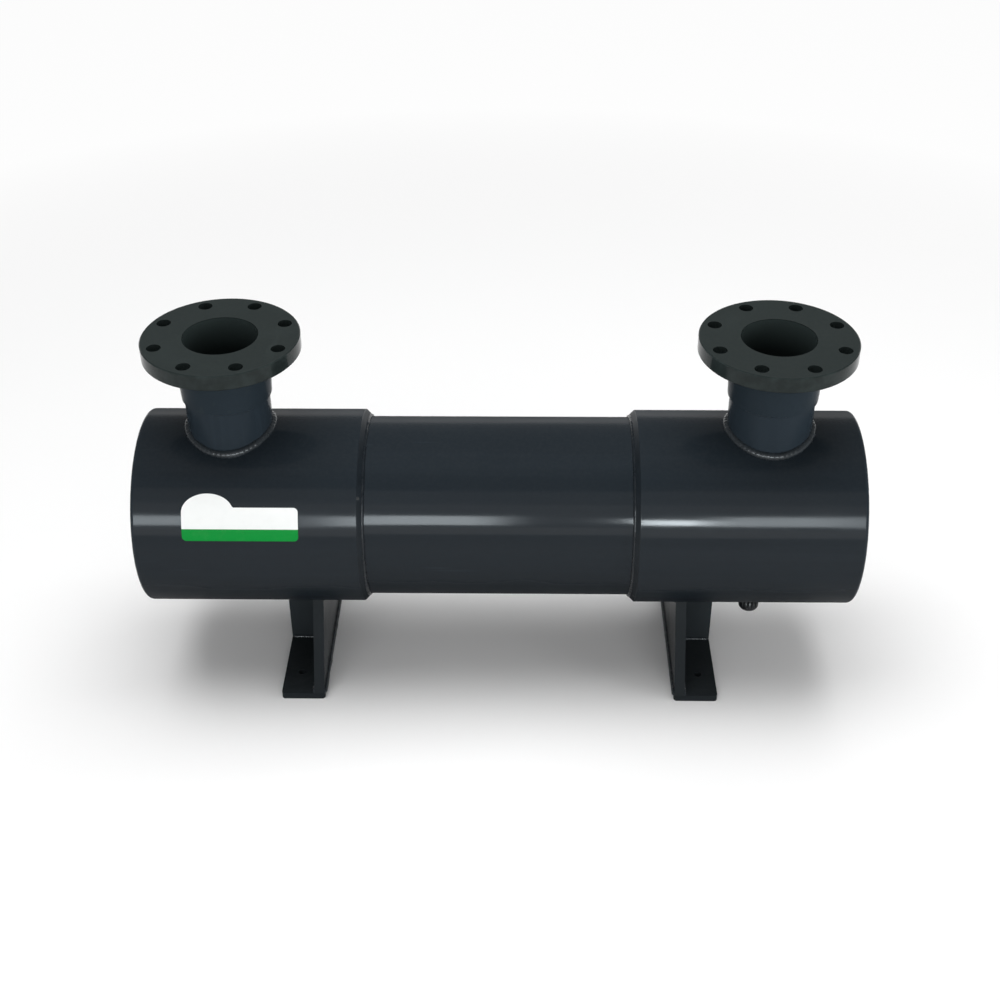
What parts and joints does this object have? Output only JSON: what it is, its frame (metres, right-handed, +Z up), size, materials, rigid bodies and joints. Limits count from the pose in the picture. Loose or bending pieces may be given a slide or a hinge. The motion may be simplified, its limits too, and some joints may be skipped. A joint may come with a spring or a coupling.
{
  "type": "uv clarifier",
  "caption": "In-line UV clarifier: dark grey pipe vessel on welded feet, flanged inlet and outlet on top, drain plug below, lamps in quartz sleeves that draw out of one end.",
  "frame": {"origin": "on the floor under the middle of the vessel", "axes": "+X along the vessel towards the lamp end and the outlet, +Y to the rear, +Z up"},
  "size_m": [0.98, 0.27, 0.522],
  "materials": {
    "vessel_pvc": "satin extruded pipe",
    "branch_pvc": "satin extruded pipe",
    "flange_pvc": "matt moulded",
    "weld_pvc": "glossy hot-gas weld",
    "foot_pvc": "satin sheet with sawn edges",
    "plate_pvc": "satin sheet",
    "nut_black": "matt moulded",
    "rubber": "matt",
    "washer_white": "smooth",
    "quartz": "clear polished",
    "lamp_glass": "clear polished",
    "ceramic": "glazed"
  },
  "bodies": {
    "vessel": {"end_chamber_left": "vessel_pvc", "cement_fillet_left": "weld_pvc", "branch_pipe_left": "branch_pvc", "weld_bead_left": "weld_pvc", "flange_left": "flange_pvc", "foot_base_left": "foot_pvc", "foot_web_left": "foot_pvc", "foot_gusset_left": "foot_pvc", "end_chamber_right": "vessel_pvc", "cement_fillet_right": "weld_pvc", "branch_pipe_right": "branch_pvc", "weld_bead_right": "weld_pvc", "flange_right": "flange_pvc", "foot_base_right": "foot_pvc", "foot_web_right": "foot_pvc", "foot_gusset_right": "foot_pvc", "centre_pipe": "vessel_pvc", "blank_end_plate": "plate_pvc", "lamp_end_plate": "plate_pvc", "drain_boss": "plate_pvc", "sleeve_cups": "plate_pvc", "sleeve_o_rings": "rubber", "gland_body_1": "plate_pvc", "quartz_sleeve_1": "quartz", "gland_body_2": "plate_pvc", "quartz_sleeve_2": "quartz", "gland_body_3": "plate_pvc", "quartz_sleeve_3": "quartz", "gland_body_4": "plate_pvc", "quartz_sleeve_4": "quartz"},
    "drain_seal": {"drain_washer": "rubber"},
    "drain_plug": {"drain_plug": "nut_black"},
    "lamp_1": {"lamp_tube_1": "lamp_glass", "lamp_base_1": "ceramic", "lamp_cap_1": "ceramic", "lamp_plug_1": "rubber"},
    "gland_washer_1": {"thrust_washer_1": "washer_white"},
    "gland_nut_1": {"gland_nut_1": "nut_black"},
    "lamp_2": {"lamp_tube_2": "lamp_glass", "lamp_base_2": "ceramic", "lamp_cap_2": "ceramic", "lamp_plug_2": "rubber"},
    "gland_washer_2": {"thrust_washer_2": "washer_white"},
    "gland_nut_2": {"gland_nut_2": "nut_black"},
    "lamp_3": {"lamp_tube_3": "lamp_glass", "lamp_base_3": "ceramic", "lamp_cap_3": "ceramic", "lamp_plug_3": "rubber"},
    "gland_washer_3": {"thrust_washer_3": "washer_white"},
    "gland_nut_3": {"gland_nut_3": "nut_black"},
    "lamp_4": {"lamp_tube_4": "lamp_glass", "lamp_base_4": "ceramic", "lamp_cap_4": "ceramic", "lamp_plug_4": "rubber"},
    "gland_washer_4": {"thrust_washer_4": "washer_white"},
    "gland_nut_4": {"gland_nut_4": "nut_black"}
  },
  "joints": [
    {"name": "drain_plug_lower", "type": "slide", "parent": "vessel", "child": "drain_seal", "axis": [0, 0, -1], "range_m": [0, 0.01456]},
    {"name": "drain_plug_turn", "type": "hinge", "parent": "drain_seal", "child": "drain_plug", "pos_m": [0.3665, 0, 0.08], "axis": [0, 0, -1], "range_deg": [0, 2880]},
    {"name": "lamp_1_draw", "type": "slide", "parent": "vessel", "child": "lamp_1", "axis": [1, 0, 0], "range_m": [0, 0.9]},
    {"name": "gland_1_back_off", "type": "slide", "parent": "vessel", "child": "gland_washer_1", "axis": [1, 0, 0], "range_m": [0, 0.01505]},
    {"name": "gland_1_turn", "type": "hinge", "parent": "gland_washer_1", "child": "gland_nut_1", "pos_m": [0.46, -0.042, 0.208], "axis": [1, 0, 0], "range_deg": [0, 1800]},
    {"name": "lamp_2_draw", "type": "slide", "parent": "vessel", "child": "lamp_2", "axis": [1, 0, 0], "range_m": [0, 0.9]},
    {"name": "gland_2_back_off", "type": "slide", "parent": "vessel", "child": "gland_washer_2", "axis": [1, 0, 0], "range_m": [0, 0.01505]},
    {"name": "gland_2_turn", "type": "hinge", "parent": "gland_washer_2", "child": "gland_nut_2", "pos_m": [0.46, 0.042, 0.208], "axis": [1, 0, 0], "range_deg": [0, 1800]},
    {"name": "lamp_3_draw", "type": "slide", "parent": "vessel", "child": "lamp_3", "axis": [1, 0, 0], "range_m": [0, 0.9]},
    {"name": "gland_3_back_off", "type": "slide", "parent": "vessel", "child": "gland_washer_3", "axis": [1, 0, 0], "range_m": [0, 0.01505]},
    {"name": "gland_3_turn", "type": "hinge", "parent": "gland_washer_3", "child": "gland_nut_3", "pos_m": [0.46, 0.042, 0.292], "axis": [1, 0, 0], "range_deg": [0, 1800]},
    {"name": "lamp_4_draw", "type": "slide", "parent": "vessel", "child": "lamp_4", "axis": [1, 0, 0], "range_m": [0, 0.9]},
    {"name": "gland_4_back_off", "type": "slide", "parent": "vessel", "child": "gland_washer_4", "axis": [1, 0, 0], "range_m": [0, 0.01505]},
    {"name": "gland_4_turn", "type": "hinge", "parent": "gland_washer_4", "child": "gland_nut_4", "pos_m": [0.46, -0.042, 0.292], "axis": [1, 0, 0], "range_deg": [0, 1800]}
  ],
  "couplings": [
    {"joint": "drain_plug_lower", "follows": "drain_plug_turn", "m_per_rad": 0.00028871},
    {"joint": "gland_1_back_off", "follows": "gland_1_turn", "m_per_rad": 0.00047746},
    {"joint": "gland_2_back_off", "follows": "gland_2_turn", "m_per_rad": 0.00047746},
    {"joint": "gland_3_back_off", "follows": "gland_3_turn", "m_per_rad": 0.00047746},
    {"joint": "gland_4_back_off", "follows": "gland_4_turn", "m_per_rad": 0.00047746}
  ]
}
